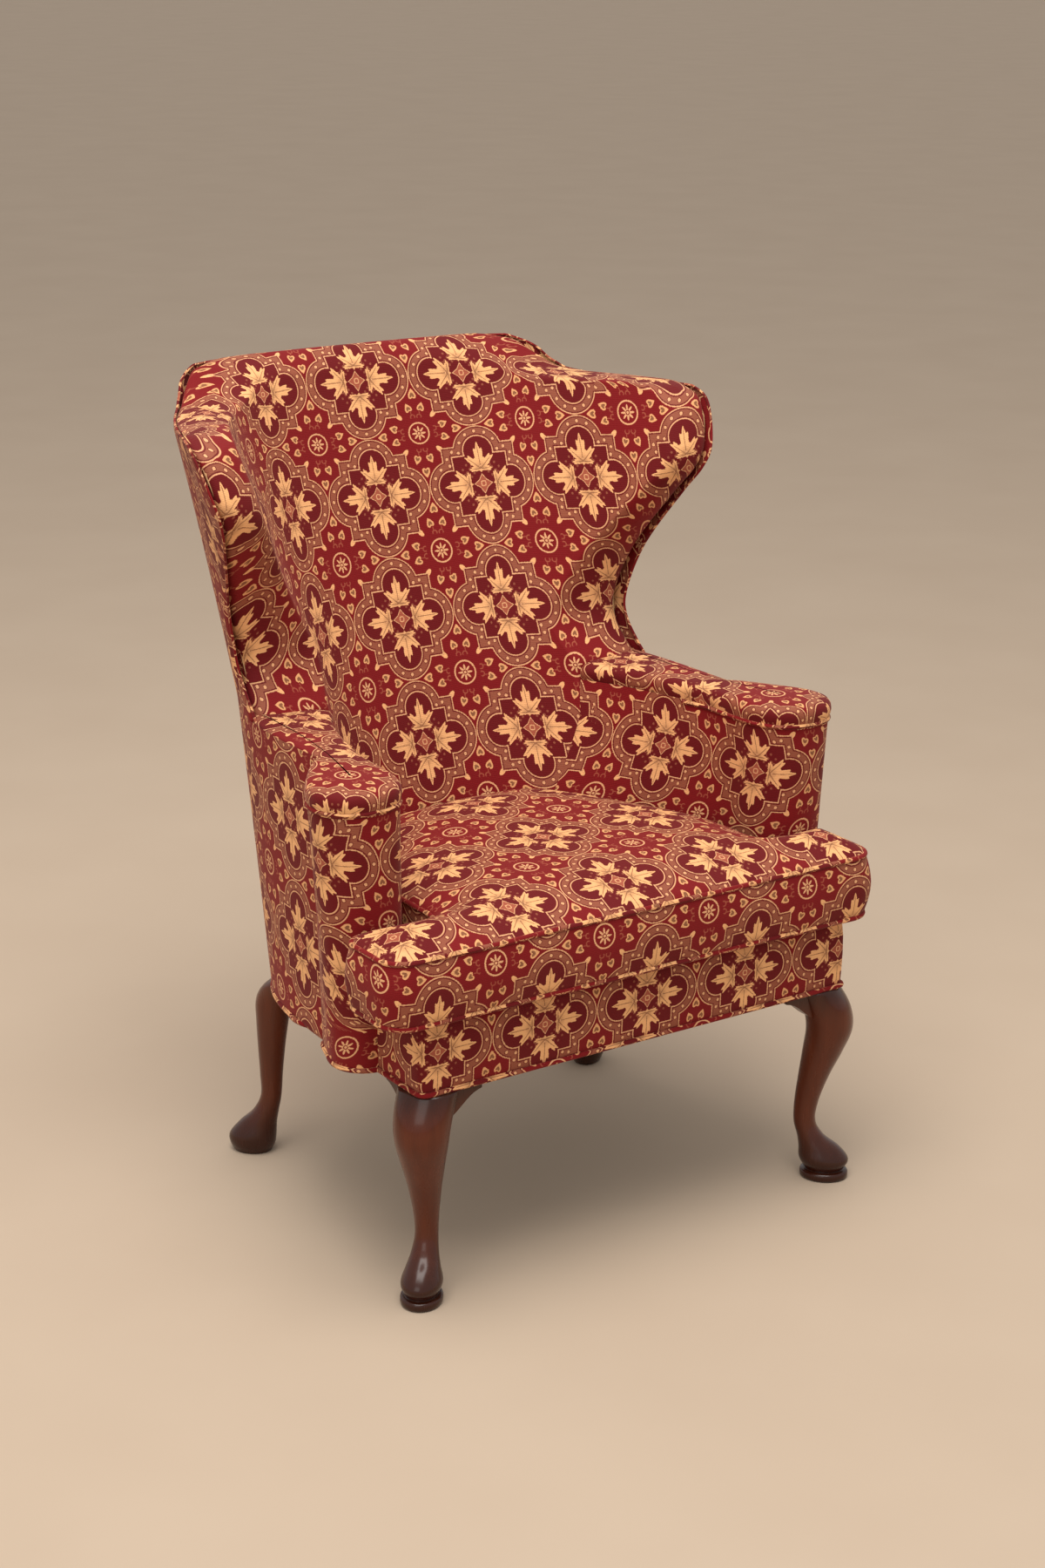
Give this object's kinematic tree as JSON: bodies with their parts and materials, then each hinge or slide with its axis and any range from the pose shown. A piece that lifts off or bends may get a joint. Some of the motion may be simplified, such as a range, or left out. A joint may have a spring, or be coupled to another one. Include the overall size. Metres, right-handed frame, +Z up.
{
  "type": "wingback armchair",
  "caption": "Upholstered wing armchair with a curved barrel back, scrolled wings, padded arms, loose T-shaped seat cushion and carved wooden cabriole legs.",
  "frame": {"origin": "on the floor, on the chair's middle plane, half way between the cushion's front and the back's rear edge", "axes": "+Z up, the front of the seat faces -Y, and +X is to the right as seen from in front"},
  "size_m": [0.8096, 0.7633, 1.077],
  "materials": {
    "damask_cover": "woven damask with gold medallions, soft sheen",
    "lacquered_wood": "gloss lacquer, reddish brown shaded to dark brown",
    "frame_wood": "sawn hardwood, unfinished",
    "webbing": "woven jute strap",
    "spring_steel": "bare spring steel",
    "deck_cloth": "plain woven lining over felt",
    "dust_cloth": "thin black non-woven cloth",
    "foam": "open-cell foam",
    "zip_tape": "woven zip tape with its chain",
    "zip_metal": "aged brass"
  },
  "bodies": {
    "chair": {"apron_cover": "damask_cover", "arm_pad_left": "damask_cover", "arm_pad_right": "damask_cover", "arm_post_left": "frame_wood", "arm_post_right": "frame_wood", "arm_rail_left": "frame_wood", "arm_rail_right": "frame_wood", "back_post_left": "frame_wood", "back_post_right": "frame_wood", "back_seat_rail": "frame_wood", "back_webbing": "webbing", "corner_blocks": "frame_wood", "crest_rail": "frame_wood", "dust_cover": "dust_cloth", "edge_roll": "damask_cover", "front_knee_brackets": "lacquered_wood", "front_leg_left": "lacquered_wood", "front_leg_right": "lacquered_wood", "front_seat_rail": "frame_wood", "inside_back_pad": "damask_cover", "leg_screws": "spring_steel", "lower_back_rail": "frame_wood", "outside_back_panel": "damask_cover", "outside_side_panel_left": "damask_cover", "outside_side_panel_right": "damask_cover", "rail_dowels": "frame_wood", "rear_leg_left": "lacquered_wood", "rear_leg_right": "lacquered_wood", "seat_deck": "deck_cloth", "seat_springs": "spring_steel", "side_seat_rail_left": "frame_wood", "side_seat_rail_right": "frame_wood", "spring_clips": "spring_steel", "wing_board_left": "frame_wood", "wing_board_right": "frame_wood"},
    "cushion": {"cushion_cover": "damask_cover", "cushion_core": "foam", "cushion_zip_tape": "zip_tape"},
    "zip": {"zip_slider": "zip_metal"}
  },
  "joints": [
    {"name": "cushion_lift", "type": "slide", "parent": "chair", "child": "cushion", "axis": [0, 0, 1], "range_m": [0, 0.75]},
    {"name": "zip_travel", "type": "hinge", "parent": "cushion", "child": "zip", "pos_m": [0, -0.2044, 0.4284], "axis": [0, 0, 1], "range_deg": [0, 25]}
  ]
}
